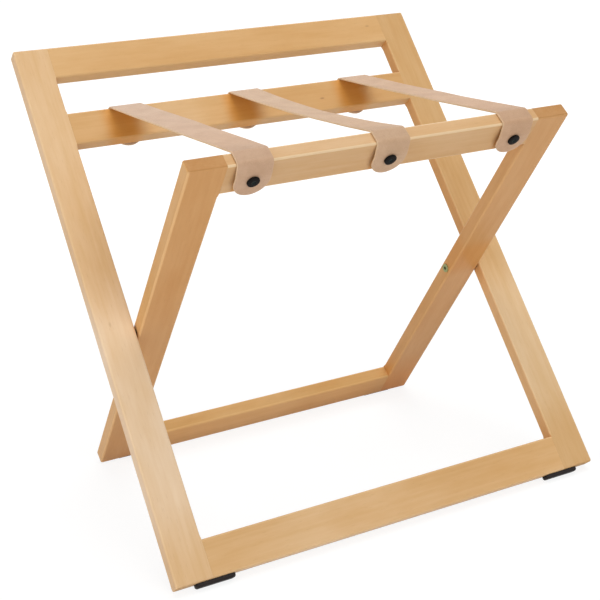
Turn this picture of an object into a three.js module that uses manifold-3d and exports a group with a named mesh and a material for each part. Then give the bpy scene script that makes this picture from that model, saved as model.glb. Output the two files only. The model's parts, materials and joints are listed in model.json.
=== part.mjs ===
// Folding luggage rack: a tall outer frame and a short inner frame cross at a pivot, and three leather
// straps tie their tops together. Millimetres, +Z up, +X to the right, +Y to the back.
import * as THREE from "three";
import { mergeVertices } from "three/addons/utils/BufferGeometryUtils.js";
import Module from "manifold-3d";

// Frames
const WIDTH = 600; // over the outer stiles
const LEG = 307.5; // pivot to the foot end, and to the top of either strap rail
const GUARD_RISE = 100; // outer stiles above their strap rail
const LEAN = THREE.MathUtils.degToRad(38.25); // each frame from the vertical, in use
const SIDE_GAP = 2; // between an outer and an inner stile
const CLEAR = 0.3; // between pieces that touch or fit into each other
const RUNNING = 0.1; // round a pivot bolt, which turns in its bore

// Boards
const BOARD_WIDTH = 46;
const BOARD_THICK = 18.5;
const EDGE_ROUND = 2.5; // long edges
const END_EASE = 2.4; // stile ends

// Dowels of the butt joints
const DOWEL_DIAMETER = 8;
const DOWEL_LENGTH = 40;
const DOWEL_PITCH = 24;
const DOWEL_CHAMFER = 1;

// Straps
const STRAP_WIDTH = 44;
const STRAP_THICK = 2.2;
const STRAP_FROM_STILE = 10; // a side strap's edge to the inner stile
const STRAP_GAP = 0.5; // over the rail's top and edges
const TONGUE_LENGTH = 46; // below the rail's top edge
const TONGUE_STAND_OFF = 4.5; // off the rail's face, behind the screw head
const TONGUE_LIFT = THREE.MathUtils.degToRad(15); // off the face, below the rail's front edge
const TONGUE_BEND = 30; // radius where the lift turns into the stand-off
const TIP_FLAT = 3; // half of the blunt tip

// Strap screws
const SCREW_DROP = 22.3; // below the rail's top edge
const SCREW_LENGTH = 20;
const SCREW_DIAMETER = 5;
const SCREW_POINT = 3;
const SCREW_HEAD_DIAMETER = 15;
const SCREW_HEAD_RIM = 1;
const SCREW_HEAD_HEIGHT = 3;
const SCREW_SOCKET = 7; // across the corners
const SCREW_SOCKET_DEPTH = 1.8;

// Pivots
const BOLT_SHOULDER_DIAMETER = 8;
const BOLT_THREAD_DIAMETER = 6;
const BOLT_THREAD_LENGTH = 18;
const BOLT_HEAD_DIAMETER = 11.5;
const BOLT_HEAD_HEIGHT = 1.2;
const BOLT_HEAD_EASE = 0.4;
const BOLT_SOCKET = 5; // across the corners
const BOLT_SOCKET_DEPTH = 2.5;
const WASHER_DIAMETER = 12;
const INSERT_DIAMETER = 11;
const INSERT_LENGTH = 20;

// Foot pads
const PAD_LENGTH = 50;
const PAD_DEPTH = 15;
const PAD_THICK = 5;
const PAD_CORNER = 5; // in plan
const PAD_EDGE_ROUND = 3; // lower edge
const PAD_FLAT = 0.8; // worn flat where it stands
const PAD_PAST_JOINT = 4; // its centre in from the corner joint

// Facets and cutters
const OVERRUN = 1; // a hole's cutter past the face that it opens
const SAME_POINT = 1e-4; // corners closer than this are one
const CORNER_STEPS = 2; // doubled on an arc
const PAD_STEPS = 4;
const HOLE_SIDES = 10;
const ROUND_SIDES = 20;
const STRAP_STEPS = 30; // from a tip's round end to the level span
const TIP_STEPS = 6;
const DOME_STEPS = 4;

// Colours, roughness and metalness
const BEECH = { color: 0xdcb583, roughness: 0.42, metalness: 0 };
const DOWEL_BEECH = { color: 0xd8b488, roughness: 0.75, metalness: 0 };
const LEATHER = { color: 0xd2b094, roughness: 0.62, metalness: 0 };
const BLACK_STEEL = { color: 0x2b2a2a, roughness: 0.38, metalness: 0.85 };
const YELLOW_ZINC = { color: 0x9aa06a, roughness: 0.35, metalness: 0.9 };
const BRASS = { color: 0xb08d4a, roughness: 0.4, metalness: 0.95 };
const NYLON = { color: 0x2f2d2b, roughness: 0.55, metalness: 0 };
const RUBBER = { color: 0x2c2725, roughness: 0.8, metalness: 0 };

// Worked-out sizes
const OUTER_HALF = WIDTH / 2;
const OUTER_INSIDE = OUTER_HALF - BOARD_WIDTH;
const INNER_HALF = OUTER_INSIDE - SIDE_GAP;
const INNER_INSIDE = INNER_HALF - BOARD_WIDTH;
const STRAP_PITCH = INNER_INSIDE - STRAP_FROM_STILE - STRAP_WIDTH / 2;
const FACE = BOARD_THICK / 2; // board's face from the frame's middle plane
const PAD_TOP = -LEG - CLEAR;
const PAD_BOTTOM = PAD_TOP - PAD_THICK;
const SIDES = { left: -1, right: 1 };

// The pad's lowest round edge, pressed flat, is what stands on the floor.
const PIVOT_HEIGHT =
  -(PAD_BOTTOM + PAD_EDGE_ROUND) * Math.cos(LEAN) +
  (PAD_DEPTH / 2 - PAD_EDGE_ROUND) * Math.sin(LEAN) +
  PAD_EDGE_ROUND -
  PAD_FLAT;

const wasm = await Module();
wasm.setup();

// Booleans: a closed geometry as a solid, and back again.
function solidOf(geometry) {
  const bare = geometry.clone();
  bare.deleteAttribute("normal");
  bare.deleteAttribute("uv");
  const merged = mergeVertices(bare, SAME_POINT);
  return new wasm.Manifold(
    new wasm.Mesh({
      numProp: 3,
      vertProperties: merged.attributes.position.array,
      triVerts: new Uint32Array(merged.index.array),
    }),
  );
}

function cut(geometry, tools) {
  const solid = tools.reduce((left, tool) => left.subtract(solidOf(tool)), solidOf(geometry));
  const { vertProperties, triVerts } = solid.getMesh();
  const result = new THREE.BufferGeometry();
  result.setAttribute("position", new THREE.BufferAttribute(vertProperties, 3));
  result.setIndex(new THREE.BufferAttribute(triVerts, 1));
  result.computeVertexNormals();
  return result;
}

// A closed surface through rings of equal count, each ring running the same way round.
function loft(rings) {
  const count = rings[0].length;
  const positions = rings.flat().flatMap((p) => [p.x, p.y, p.z]);
  const index = [];
  for (let ring = 0; ring + 1 < rings.length; ring++) {
    for (let k = 0; k < count; k++) {
      const a = ring * count + k;
      const b = ring * count + ((k + 1) % count);
      index.push(a, b, b + count, a, b + count, a + count);
    }
  }
  const last = (rings.length - 1) * count;
  for (let k = 1; k + 1 < count; k++) {
    index.push(0, k + 1, k);
    index.push(last, last + k, last + k + 1);
  }
  const result = new THREE.BufferGeometry();
  result.setAttribute("position", new THREE.Float32BufferAttribute(positions, 3));
  result.setIndex(index);
  result.computeVertexNormals();
  return result;
}

function roundedRectangle(width, height, radius) {
  const x = width / 2;
  const y = height / 2;
  const shape = new THREE.Shape();
  shape.absarc(x - radius, y - radius, radius, 0, Math.PI / 2);
  shape.absarc(radius - x, y - radius, radius, Math.PI / 2, Math.PI);
  shape.absarc(radius - x, radius - y, radius, Math.PI, 1.5 * Math.PI);
  shape.absarc(x - radius, radius - y, radius, 1.5 * Math.PI, 2 * Math.PI);
  return shape;
}

// A board along Z from `low` to `high`, its width along X and its thickness along Y.
function board(low, high, ease) {
  return new THREE.ExtrudeGeometry(roundedRectangle(BOARD_WIDTH, BOARD_THICK, EDGE_ROUND), {
    depth: high - low - 2 * ease,
    bevelEnabled: ease > 0,
    bevelThickness: ease,
    bevelSize: ease,
    bevelOffset: -ease,
    bevelSegments: 2,
    curveSegments: CORNER_STEPS,
  }).translate(0, 0, low + ease);
}

// A round tool or pin along X from `from` to `to`, at height z.
function rodAlongX(diameter, from, to, z, sides) {
  return new THREE.CylinderGeometry(diameter / 2, diameter / 2, Math.abs(to - from), sides)
    .rotateZ(Math.PI / 2)
    .translate((from + to) / 2, 0, z);
}

// A round tool along Y from `from` to `to`.
function rodAlongY(diameter, from, to, x, z) {
  return new THREE.CylinderGeometry(diameter / 2, diameter / 2, Math.abs(to - from), HOLE_SIDES)
    .translate(x, (from + to) / 2, z);
}

function hexSocket(acrossCorners, top, depth) {
  const reach = depth + CLEAR;
  return new THREE.CylinderGeometry(acrossCorners / 2, acrossCorners / 2, reach, 6)
    .translate(0, top + CLEAR - reach / 2, 0);
}

function lathe(points, sides) {
  return new THREE.LatheGeometry(points.map(([r, y]) => new THREE.Vector2(r, y)), sides);
}

function piece(name, geometry, finish) {
  const mesh = new THREE.Mesh(geometry, new THREE.MeshStandardMaterial(finish));
  mesh.name = name;
  return mesh;
}

// Each frame is described at its own pivot: Z up along its stiles and Y towards its back face.
// A rail names its middle height and, where straps end on it, the face that their tongues lie on.
const BACK = 1;
const FRONT = -1;
const RAIL_BELOW_END = BOARD_WIDTH / 2;
const FRAMES = {
  outer: {
    half: OUTER_HALF,
    inside: OUTER_INSIDE,
    top: LEG + GUARD_RISE,
    lean: -LEAN,
    tongueFace: BACK,
    rails: {
      guard: LEG + GUARD_RISE - RAIL_BELOW_END,
      strap: LEG - RAIL_BELOW_END,
      foot: -LEG + RAIL_BELOW_END,
    },
  },
  inner: {
    half: INNER_HALF,
    inside: INNER_INSIDE,
    top: LEG,
    lean: LEAN,
    tongueFace: FRONT,
    rails: {
      strap: LEG - RAIL_BELOW_END,
      foot: -LEG + RAIL_BELOW_END,
    },
  },
};

const STRAPS = { left: -STRAP_PITCH, middle: 0, right: STRAP_PITCH };
const dowelHeights = (z) => ({ upper: z + DOWEL_PITCH / 2, lower: z - DOWEL_PITCH / 2 });
const DOWEL_HOLE = DOWEL_DIAMETER + 2 * CLEAR;
const DOWEL_REACH = DOWEL_LENGTH / 2 + CLEAR;
const SCREW_HOLE = SCREW_DIAMETER + 2 * CLEAR;
const SCREW_Z = LEG - SCREW_DROP;
const SCREW_SEAT = FACE + TONGUE_STAND_OFF + STRAP_THICK + CLEAR; // head's underside from the middle plane
const BOLT_BORE = BOLT_SHOULDER_DIAMETER + 2 * RUNNING;

// Dowel holes at a joint, from `reach` outside to `reach` inside the joint's plane.
function dowelHoles(joint, z) {
  return Object.values(dowelHeights(z)).map((height) =>
    rodAlongX(DOWEL_HOLE, joint - DOWEL_REACH, joint + DOWEL_REACH, height, HOLE_SIDES),
  );
}

function stile(frameName, frame, side) {
  const joint = side * frame.inside;
  const blank = board(-LEG, frame.top, END_EASE).translate(side * (frame.half - BOARD_WIDTH / 2), 0, 0);
  const holes = Object.values(frame.rails).flatMap((z) => dowelHoles(joint, z));
  if (frameName === "outer") {
    const end = joint + side * (INSERT_LENGTH + 2 * CLEAR);
    holes.push(rodAlongX(INSERT_DIAMETER + 2 * CLEAR, joint - side * OVERRUN, end, 0, ROUND_SIDES));
  } else {
    const end = joint + side * (BOARD_WIDTH + OVERRUN);
    holes.push(rodAlongX(BOLT_BORE, joint - side * OVERRUN, end, 0, ROUND_SIDES));
  }
  return cut(blank, holes);
}

function rail(railName, frame, z) {
  const end = frame.inside - CLEAR;
  const blank = board(-end, end, 0).rotateY(Math.PI / 2).translate(0, 0, z);
  const holes = Object.values(SIDES).flatMap((side) => dowelHoles(side * frame.inside, z));
  if (railName === "strap") {
    const mouth = frame.tongueFace * (FACE + OVERRUN);
    const end = frame.tongueFace * (SCREW_SEAT - SCREW_LENGTH - CLEAR);
    for (const x of Object.values(STRAPS)) {
      holes.push(rodAlongY(SCREW_HOLE, mouth, end, x, SCREW_Z));
    }
  }
  return cut(blank, holes);
}

function dowel() {
  const r = DOWEL_DIAMETER / 2;
  const end = DOWEL_LENGTH / 2;
  const profile = [
    [0, -end],
    [r - DOWEL_CHAMFER, -end],
    [r, DOWEL_CHAMFER - end],
    [r, end - DOWEL_CHAMFER],
    [r - DOWEL_CHAMFER, end],
    [0, end],
  ];
  return lathe(profile, HOLE_SIDES).rotateZ(Math.PI / 2);
}

// A pad lies under the foot end: rings of a rounded rectangle, drawn in round the lower edge.
function footPad(frame, side) {
  const ring = (inset, z) =>
    roundedRectangle(PAD_LENGTH - 2 * inset, PAD_DEPTH - 2 * inset, PAD_CORNER - inset)
      .getPoints(CORNER_STEPS)
      .slice(0, -1)
      .map((p) => new THREE.Vector3(p.x, p.y, z));
  const rings = [];
  for (let step = 0; step <= PAD_STEPS; step++) {
    const turn = (step / PAD_STEPS) * (Math.PI / 2);
    const inset = PAD_EDGE_ROUND * (1 - Math.sin(turn));
    rings.push(ring(inset, PAD_BOTTOM + PAD_EDGE_ROUND * (1 - Math.cos(turn))));
  }
  rings.push(ring(0, PAD_TOP));
  const spread = 4 * LEG; // reaches under the feet of either frame
  const floor = new THREE.BoxGeometry(2 * PAD_LENGTH, spread, LEG)
    .translate(0, 0, -PIVOT_HEIGHT - LEG / 2)
    .rotateX(-frame.lean);
  return cut(loft(rings), [floor]).translate(side * (frame.inside - PAD_PAST_JOINT), 0, 0);
}

// A strap screw stands along Y, its domed head up and its shank from 0 down.
function strapScrew() {
  const shank = SCREW_DIAMETER / 2;
  const head = SCREW_HEAD_DIAMETER / 2;
  const profile = [
    [0, -SCREW_LENGTH],
    [shank, SCREW_POINT - SCREW_LENGTH],
    [shank, 0],
    [head, 0],
    [head, SCREW_HEAD_RIM],
  ];
  const dome = SCREW_HEAD_HEIGHT - SCREW_HEAD_RIM;
  for (let step = 1; step < DOME_STEPS; step++) {
    const turn = (step / DOME_STEPS) * (Math.PI / 2);
    profile.push([head * Math.cos(turn), SCREW_HEAD_RIM + dome * Math.sin(turn)]);
  }
  profile.push([0, SCREW_HEAD_HEIGHT]);
  return cut(lathe(profile, ROUND_SIDES), [hexSocket(SCREW_SOCKET, SCREW_HEAD_HEIGHT, SCREW_SOCKET_DEPTH)]);
}

// A pivot bolt stands along Y from its head, at the inner stile, down to its thread in the insert.
function pivotBolt() {
  const head = BOLT_HEAD_DIAMETER / 2;
  const shoulder = BOLT_SHOULDER_DIAMETER / 2;
  const thread = BOLT_THREAD_DIAMETER / 2;
  const shoulderLength = BOARD_WIDTH + SIDE_GAP;
  const profile = [
    [0, -shoulderLength - BOLT_THREAD_LENGTH],
    [thread, -shoulderLength - BOLT_THREAD_LENGTH],
    [thread, -shoulderLength],
    [shoulder, -shoulderLength],
    [shoulder, 0],
    [head, 0],
    [head, BOLT_HEAD_HEIGHT - BOLT_HEAD_EASE],
    [head - BOLT_HEAD_EASE, BOLT_HEAD_HEIGHT],
    [0, BOLT_HEAD_HEIGHT],
  ];
  return cut(lathe(profile, ROUND_SIDES), [hexSocket(BOLT_SOCKET, BOLT_HEAD_HEIGHT, BOLT_SOCKET_DEPTH)]);
}

// A tube along Y, centred on the origin.
function sleeve(outerDiameter, innerDiameter, length) {
  const end = length / 2;
  const profile = [
    [innerDiameter / 2, -end],
    [outerDiameter / 2, -end],
    [outerDiameter / 2, end],
    [innerDiameter / 2, end],
    [innerDiameter / 2, -end],
  ];
  return lathe(profile, ROUND_SIDES);
}

// The strap's middle line over the front strap rail, in the frame's own axes: up the tongue, which hangs
// off the rail's face behind the screw head, in to the rail's front edge, over its two rounded edges with a
// small gap, and off its back edge where the level span starts.
function strapLine() {
  const hang = -FACE - TONGUE_STAND_OFF - STRAP_THICK / 2;
  const crown = EDGE_ROUND + STRAP_GAP + STRAP_THICK / 2;
  const edge = FACE - EDGE_ROUND;
  const edgeHeight = LEG - EDGE_ROUND;
  const liftRun = (-edge - crown * Math.cos(TONGUE_LIFT) - hang) / Math.tan(TONGUE_LIFT);
  const liftLow = edgeHeight + crown * Math.sin(TONGUE_LIFT) - liftRun;
  const bendLow = liftLow - TONGUE_BEND * Math.tan(TONGUE_LIFT / 2);
  const line = new THREE.Path();
  line.moveTo(hang, LEG - TONGUE_LENGTH);
  line.absarc(hang + TONGUE_BEND, bendLow, TONGUE_BEND, Math.PI, Math.PI - TONGUE_LIFT, true);
  line.absarc(-edge, edgeHeight, crown, Math.PI - TONGUE_LIFT, Math.PI / 2, true);
  line.absarc(edge, edgeHeight, crown, Math.PI / 2, Math.PI / 2 - LEAN, true);
  return line;
}

// Stations from the front tip to the back tip, about the pivot. Each has the middle line's point and half
// of the strap's width, which falls off round the tips.
function strapStations() {
  const round = STRAP_WIDTH / 2;
  const line = strapLine();
  const length = line.getLength();
  const stations = [];
  const add = (run, half) => {
    const at = line.getPointAt(run / length).rotateAround(new THREE.Vector2(), LEAN);
    stations.push({ at, half });
  };
  const narrow = Math.asin(TIP_FLAT / round);
  for (let step = 0; step < TIP_STEPS; step++) {
    const turn = narrow + (step / TIP_STEPS) * (Math.PI / 2 - narrow);
    add(round * (1 - Math.cos(turn)), round * Math.sin(turn));
  }
  for (let step = 0; step <= STRAP_STEPS; step++) {
    add(round + (step / STRAP_STEPS) * (length - round), round);
  }
  const mirrored = stations.map(({ at, half }) => ({ at: new THREE.Vector2(-at.x, at.y), half }));
  return [...stations, ...mirrored.reverse()];
}

// A strap is a flat section carried along that line, narrowing round each tongue's tip.
function strap(x) {
  const stations = strapStations();
  const rings = stations.map(({ at, half }, k) => {
    const before = stations[Math.max(k - 1, 0)].at;
    const after = stations[Math.min(k + 1, stations.length - 1)].at;
    const along = after.clone().sub(before).normalize();
    const up = new THREE.Vector2(-along.y, along.x).multiplyScalar(STRAP_THICK / 2);
    const corner = (side, level) =>
      new THREE.Vector3(x + side * half, at.x + level * up.x, at.y + level * up.y);
    return [corner(-1, -1), corner(-1, 1), corner(1, 1), corner(1, -1)];
  });
  const reach = SCREW_SEAT + OVERRUN;
  const holes = Object.values(FRAMES).map(({ tongueFace, lean }) =>
    rodAlongY(SCREW_HOLE, tongueFace * FACE, tongueFace * reach, x, SCREW_Z).rotateX(lean),
  );
  return cut(loft(rings), holes);
}

function buildFrame(frameName) {
  const frame = FRAMES[frameName];
  const group = new THREE.Group();
  group.rotation.x = frame.lean;
  for (const [railName, z] of Object.entries(frame.rails)) {
    group.add(piece(`${frameName}_${railName}_rail`, rail(railName, frame, z), BEECH));
  }
  for (const [sideName, side] of Object.entries(SIDES)) {
    group.add(piece(`${frameName}_stile_${sideName}`, stile(frameName, frame, side), BEECH));
    group.add(piece(`foot_pad_${frameName}_${sideName}`, footPad(frame, side), RUBBER));
    for (const [railName, z] of Object.entries(frame.rails)) {
      for (const [level, height] of Object.entries(dowelHeights(z))) {
        const pin = piece(`dowel_${frameName}_${railName}_${sideName}_${level}`, dowel(), DOWEL_BEECH);
        pin.position.set(side * frame.inside, 0, height);
        group.add(pin);
      }
    }
  }
  for (const [strapName, x] of Object.entries(STRAPS)) {
    const screw = piece(`strap_screw_${frameName}_${strapName}`, strapScrew(), BLACK_STEEL);
    screw.position.set(x, frame.tongueFace * SCREW_SEAT, SCREW_Z);
    screw.rotation.x = frame.tongueFace === BACK ? 0 : Math.PI;
    group.add(screw);
  }
  return group;
}

// The pivots turn about X and belong to the outer frame, so they lean with it.
function buildPivots() {
  const group = new THREE.Group();
  group.rotation.x = FRAMES.outer.lean;
  for (const [sideName, side] of Object.entries(SIDES)) {
    const place = (name, geometry, finish, x) => {
      const mesh = piece(`${name}_${sideName}`, geometry, finish);
      mesh.rotation.z = (side * Math.PI) / 2;
      mesh.position.x = side * x;
      group.add(mesh);
    };
    const washer = sleeve(WASHER_DIAMETER, BOLT_BORE, SIDE_GAP - 2 * CLEAR);
    const insert = sleeve(INSERT_DIAMETER, BOLT_THREAD_DIAMETER + 2 * CLEAR, INSERT_LENGTH);
    place("pivot_bolt", pivotBolt(), YELLOW_ZINC, INNER_INSIDE - CLEAR);
    place("pivot_washer", washer, NYLON, INNER_HALF + SIDE_GAP / 2);
    place("pivot_insert", insert, BRASS, OUTER_INSIDE + CLEAR + INSERT_LENGTH / 2);
  }
  return group;
}

// The rack stands on the floor at z = 0, with the middle of its box over the origin.
const rack = new THREE.Group();
rack.add(buildFrame("outer"), buildFrame("inner"), buildPivots());
for (const [strapName, x] of Object.entries(STRAPS)) {
  rack.add(piece(`strap_${strapName}`, strap(x), LEATHER));
}
rack.updateMatrixWorld(true);
const middle = new THREE.Box3().setFromObject(rack, true).getCenter(new THREE.Vector3());
rack.position.set(0, -middle.y, PIVOT_HEIGHT);

const luggageRack = new THREE.Group();
luggageRack.add(rack);
export default luggageRack;
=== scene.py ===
"""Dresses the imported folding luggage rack: beech boards, leather straps, hardware, pads and a stage."""

import json
import math
from typing import NamedTuple

import bmesh
import bpy
import numpy as np
from bpy.props import FloatProperty, FloatVectorProperty, IntProperty, PointerProperty
from mathutils import Matrix, Vector


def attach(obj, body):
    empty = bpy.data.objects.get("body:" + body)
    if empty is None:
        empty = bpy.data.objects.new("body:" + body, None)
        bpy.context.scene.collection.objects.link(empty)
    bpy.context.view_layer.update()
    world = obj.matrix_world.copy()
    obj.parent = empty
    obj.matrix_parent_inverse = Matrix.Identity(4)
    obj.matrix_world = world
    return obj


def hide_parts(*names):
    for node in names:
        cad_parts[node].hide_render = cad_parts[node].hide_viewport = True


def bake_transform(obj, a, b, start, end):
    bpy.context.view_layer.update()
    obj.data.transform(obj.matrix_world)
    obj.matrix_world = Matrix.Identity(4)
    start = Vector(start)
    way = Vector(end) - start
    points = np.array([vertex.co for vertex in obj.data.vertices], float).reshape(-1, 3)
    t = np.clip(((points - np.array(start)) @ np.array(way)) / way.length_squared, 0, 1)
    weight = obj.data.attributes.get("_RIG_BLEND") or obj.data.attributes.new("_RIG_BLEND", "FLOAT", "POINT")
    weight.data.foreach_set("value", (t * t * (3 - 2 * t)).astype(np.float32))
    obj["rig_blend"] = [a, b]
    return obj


bl_info = {
    "name": "Folding Luggage Rack",
    "version": (1, 0, 0),
    "blender": (4, 5, 0),
    "location": "View3D > Sidebar > Rack",
    "description": "Dresses a packed folding luggage rack with boards, straps, hardware and a stage",
    "category": "Object",
}

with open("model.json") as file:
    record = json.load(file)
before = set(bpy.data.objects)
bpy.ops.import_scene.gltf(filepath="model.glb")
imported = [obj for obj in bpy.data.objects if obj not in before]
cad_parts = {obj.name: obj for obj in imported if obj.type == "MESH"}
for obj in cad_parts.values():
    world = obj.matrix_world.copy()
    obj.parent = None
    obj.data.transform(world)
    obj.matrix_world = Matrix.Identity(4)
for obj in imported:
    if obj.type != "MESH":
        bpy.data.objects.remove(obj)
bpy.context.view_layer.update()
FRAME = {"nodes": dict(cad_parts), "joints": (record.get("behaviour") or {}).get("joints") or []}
FOLD = FRAME["joints"][0]
PIVOT = Vector(FOLD["pos_m"])
FOLD_ANGLE = math.radians(FOLD["range_deg"][1])

SIDES = {"left": -1, "right": 1}
STRAP_PLACES = {"left": -1, "middle": 0, "right": 1}
LEANS = {"outer": -1, "inner": 1}
TONGUE_SIDES = {"outer": 1, "inner": -1}


def metres(name, description, default):
    """A length that a user can change."""
    return FloatProperty(name=name, description=description, default=default, unit="LENGTH")


def degrees(name, description, default):
    """An angle that a user can change, its default given in degrees."""
    return FloatProperty(
        name=name, description=description, default=math.radians(default), subtype="ANGLE"
    )


def watts(name, description, default):
    """A lamp's power that a user can change."""
    return FloatProperty(name=name, description=description, default=default, unit="POWER")


def srgb(name, description, default):
    """A colour that a user can change."""
    return FloatVectorProperty(
        name=name, description=description, default=default, subtype="COLOR_GAMMA", size=3
    )


class FrameSettings(bpy.types.PropertyGroup):
    """Main sizes of the two crossing frames."""

    width: metres("Width", "Over the outer stiles", 0.6)
    leg: metres("Leg", "Pivot to the foot end, and to the top of either strap rail", 0.3075)
    guard_rise: metres("Guard rise", "Outer stiles above their strap rail", 0.1)
    lean: degrees("Lean", "Each frame from the vertical", 38.25)
    side_gap: metres("Side gap", "Outer to inner stile", 0.002)
    clear: metres("Clearance", "Between fitted pieces", 0.0003)


class BoardSettings(bpy.types.PropertyGroup):
    """Section, edges and colours of the beech boards."""

    width: metres("Width", "Board width", 0.046)
    thick: metres("Thickness", "Board thickness", 0.0185)
    edge_round: metres("Edge round", "Radius of the long edges", 0.0025)
    stile_ease: metres("Stile ease", "Rounding of the stile ends", 0.0024)
    joint_round: metres("Joint round", "Radius left at the flush joints", 0.0002)
    joint_gap: metres("Joint gap", "Glue line of a flush joint", 0.00004)
    stile_tint: srgb("Stile tint", "Lacquered beech of the stiles", (0.866, 0.716, 0.528))
    rail_tint: srgb("Rail tint", "Lacquered beech of the rails", (0.851, 0.682, 0.466))
    end_tint: srgb("End grain tint", "Multiplies the colour on end grain", (0.905, 0.885, 0.85))
    seed: IntProperty(name="Seed", description="Picks each board's grain", default=7)


class StrapSettings(bpy.types.PropertyGroup):
    """Sizes and colours of the leather straps."""

    width: metres("Width", "Strap width", 0.044)
    thick: metres("Thickness", "Leather thickness", 0.0022)
    from_stile: metres("From stile", "Side strap's edge to the inner stile", 0.01)
    gap: metres("Gap", "Over the rail's top and edges", 0.0005)
    tongue: metres("Tongue", "Below the rail's top edge", 0.046)
    stand_off: metres("Stand-off", "Tongue off the rail's face", 0.0045)
    lift: degrees("Lift", "Tongue off the face, below the rail's front edge", 15)
    bend: metres("Bend", "Radius where the lift turns into the stand-off", 0.03)
    screw_drop: metres("Screw drop", "Screw below the rail's top edge", 0.0223)
    grain_tint: srgb("Grain side", "Natural leather", (0.84, 0.71, 0.605))
    edge_tint: srgb("Cut edge", "Leather's cut edges", (0.9, 0.78, 0.62))
    flesh_tint: srgb("Flesh side", "Leather's rough side", (0.91, 0.79, 0.66))


class HardwareSettings(bpy.types.PropertyGroup):
    """Sizes and colours of the screws, pivots and pads."""

    screw_head: metres("Screw head", "Strap screw's head", 0.015)
    bolt_head: metres("Bolt head", "Pivot bolt's head", 0.0115)
    pad_length: metres("Pad length", "Foot pad along the rail", 0.05)
    screw_tint: srgb("Screw black", "Black oxide steel", (0.07, 0.06, 0.055))
    bolt_tint: srgb("Bolt zinc", "Yellow zinc plate", (0.62, 0.64, 0.44))
    pad_tint: srgb("Pad rubber", "Dark rubber", (0.125, 0.1, 0.095))


class StageSettings(bpy.types.PropertyGroup):
    """Camera and light of the stage."""

    lens: FloatProperty(name="Lens", description="Focal length in mm", default=76.26, unit="CAMERA")
    room: FloatProperty(name="Room", description="Light from the room all round", default=0.21)
    overhead: watts("Overhead", "Power of the overhead softbox", 172.0)
    left: watts("Left", "Power of the softbox on the left", 88.0)
    front: watts("Front", "Power of the softbox by the camera", 71.0)


def linear(colour):
    """An sRGB colour as linear RGBA."""
    c = np.asarray(colour, float)
    low, high = c / 12.92, ((c + 0.055) / 1.055) ** 2.4
    return (*np.where(c <= 0.04045, low, high), 1.0)


def tinted(tint, shares):
    """An sRGB tint times a share for each channel, as linear RGBA."""
    return linear(np.clip(np.asarray(tint) * shares, 0, 1))


def smooth(t):
    """The cubic step from 0 to 1 over t."""
    t = np.clip(t, 0, 1)
    return t * t * (3 - 2 * t)


# Meshes

# The flat beside each rounding, the stretch over which a rounding dies out before a joint, and the least
# radius.
SUPPORT = 0.0006
JOINT_FADE = 0.006
MIN_RADIUS = 1e-5
WELD_REACH = 1e-7
EDGE_STEPS = 6
FADE_STEPS = 9
TURNED_SIDES = 60


def moved(points, matrix):
    """Points of any grid, turned and shifted by a 4 by 4 matrix."""
    m = np.array(matrix)
    return points @ m[:3, :3].T + m[:3, 3]


def ring_piece(name, rings, marks, weld=False):
    """A closed piece through equal rings of points: quads join each ring to the next, round and round,
    and the first and last ring are filled. Rings that shrink to a point are welded into a pole. Marks
    are values for every point, kept as attributes for the material."""
    rows, around = rings.shape[:2]
    i, k = np.meshgrid(np.arange(rows - 1), np.arange(around), indexing="ij")
    after = (k + 1) % around
    quads = np.stack(
        [i * around + k, i * around + after, (i + 1) * around + after, (i + 1) * around + k], -1
    )
    ends = [] if weld else [list(range(around))[::-1], list(range((rows - 1) * around, rows * around))]
    mesh = bpy.data.meshes.new(name)
    mesh.from_pydata(rings.reshape(-1, 3), [], quads.reshape(-1, 4).tolist() + ends)
    for key, values in marks.items():
        mesh.attributes.new(key, "FLOAT", "POINT").data.foreach_set("value", values.ravel())
    if weld:
        work = bmesh.new()
        work.from_mesh(mesh)
        bmesh.ops.remove_doubles(work, verts=work.verts, dist=WELD_REACH)
        work.to_mesh(mesh)
        work.free()
    mesh.shade_smooth()
    piece = bpy.data.objects.new(name, mesh)
    bpy.context.scene.collection.objects.link(piece)
    return piece


def rounded_sections(low, high, radius, steps):
    """Rounded rectangles, one per row: between the corners `low` and `high`, with a radius for each corner
    counter-clockwise from the high one. Each corner is an arc, led in and out along the flats by a short
    support so that the flats shade flat."""
    quarter = np.arange(4)[:, None] * math.pi / 2
    angle = quarter + np.linspace(0, math.pi / 2, steps + 1)
    right, top = np.array([1, 0, 0, 1]), np.array([1, 1, 0, 0])
    centre = np.stack(
        [
            np.where(right, high[:, :1] - radius, low[:, :1] + radius),
            np.where(top, high[:, 1:] - radius, low[:, 1:] + radius),
        ],
        -1,
    )
    turn = np.stack([np.cos(angle), np.sin(angle)], -1)
    arc = centre[:, :, None] + radius[:, :, None, None] * turn
    lead = SUPPORT * np.stack([-np.sin(quarter), np.cos(quarter)], -1)
    trail = SUPPORT * np.stack([-np.cos(quarter), -np.sin(quarter)], -1)
    corners = np.concatenate([arc[:, :, :1] - lead, arc, arc[:, :, -1:] + trail], 2)
    return corners.reshape(len(low), -1, 2)


def stack_sections(sections, heights):
    """Flat sections as rings, one at each height along Z."""
    z = np.repeat(np.asarray(heights, float)[:, None], sections.shape[1], 1)
    return np.concatenate([sections, z[..., None]], -1)


def end_rings(length, ease):
    """Insets and heights that round a board's ends: a narrow support ring across the end's face and a
    quarter circle of radius `ease`, at both ends."""
    turn = np.linspace(0, math.pi / 2, EDGE_STEPS)
    inset = np.concatenate([[ease + SUPPORT], ease * (1 - np.sin(turn)), [0]])
    from_end = np.concatenate([[0], ease * (1 - np.cos(turn)), [ease + SUPPORT]])
    return np.concatenate([inset, inset[::-1]]), np.concatenate(
        [from_end - length / 2, length / 2 - from_end[::-1]]
    )


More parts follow.
